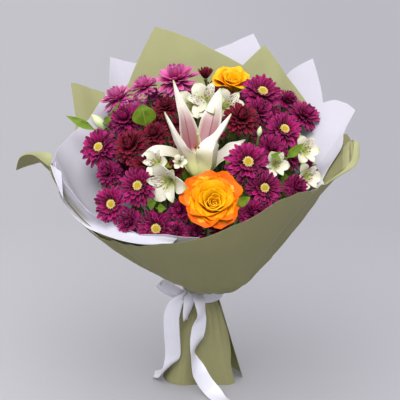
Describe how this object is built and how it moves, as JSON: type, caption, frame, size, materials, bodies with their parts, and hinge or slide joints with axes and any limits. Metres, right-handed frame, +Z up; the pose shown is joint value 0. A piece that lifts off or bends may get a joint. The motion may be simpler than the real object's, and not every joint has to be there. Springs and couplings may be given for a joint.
{
  "type": "flower bouquet",
  "caption": "Hand-tied bouquet of mums, roses, a lily and alstroemerias, standing upright in a flared green and white paper wrap tied with a satin ribbon.",
  "frame": {"origin": "on the table at the middle of the wrapped foot, under the lily stem's cut end", "axes": "+Z up, -Y towards the bouquet's front, +X to its right as seen from the front"},
  "size_m": [0.4693, 0.3311, 0.4828],
  "materials": {
    "mum_magenta": "matte",
    "mum_pink": "matte",
    "mum_burgundy": "matte",
    "mum_disc": "matte",
    "rose_orange": "satin",
    "rose_yellow": "satin",
    "lily_white": "satin",
    "stamen_orange": "matte",
    "alstroemeria_white": "satin",
    "stem_green": "satin",
    "leaf_green": "satin",
    "green_paper": "matte",
    "white_paper": "matte",
    "white_satin": "satin"
  },
  "bodies": {
    "root": {"alstroemeria_01": "alstroemeria_white", "alstroemeria_02": "alstroemeria_white", "alstroemeria_03": "alstroemeria_white", "alstroemeria_04": "alstroemeria_white", "alstroemeria_05": "alstroemeria_white", "alstroemeria_06": "alstroemeria_white", "green_paper_back": "green_paper", "green_paper_front": "green_paper", "green_paper_left": "green_paper", "green_paper_right": "green_paper", "lily": "lily_white", "lily_stamens": "stamen_orange", "mum_01": "mum_magenta", "mum_02": "mum_magenta", "mum_03": "mum_magenta", "mum_04": "mum_magenta", "mum_05": "mum_pink", "mum_06": "mum_pink", "mum_07": "mum_pink", "mum_08": "mum_magenta", "mum_09": "mum_burgundy", "mum_10": "mum_burgundy", "mum_11": "mum_magenta", "mum_12": "mum_magenta", "mum_13": "mum_magenta", "mum_14": "mum_magenta", "mum_15": "mum_magenta", "mum_16": "mum_magenta", "mum_17": "mum_pink", "mum_18": "mum_burgundy", "mum_19": "mum_magenta", "mum_20": "mum_magenta", "mum_21": "mum_magenta", "mum_22": "mum_magenta", "mum_23": "mum_magenta", "mum_24": "mum_burgundy", "mum_25": "mum_burgundy", "mum_26": "mum_pink", "mum_27": "mum_pink", "ribbon": "white_satin", "rose_back": "rose_yellow", "rose_front": "rose_orange", "stem_alstro_left": "stem_green", "stem_alstro_right": "stem_green", "stem_back_left": "stem_green", "stem_back_right": "stem_green", "stem_front": "stem_green", "stem_front_left": "stem_green", "stem_front_right": "stem_green", "stem_left": "stem_green", "stem_lily": "stem_green", "stem_right": "stem_green", "stem_rose_back": "stem_green", "stem_rose_front": "stem_green", "white_paper_back": "white_paper", "white_paper_left": "white_paper", "white_paper_right": "white_paper"}
  },
  "joints": []
}
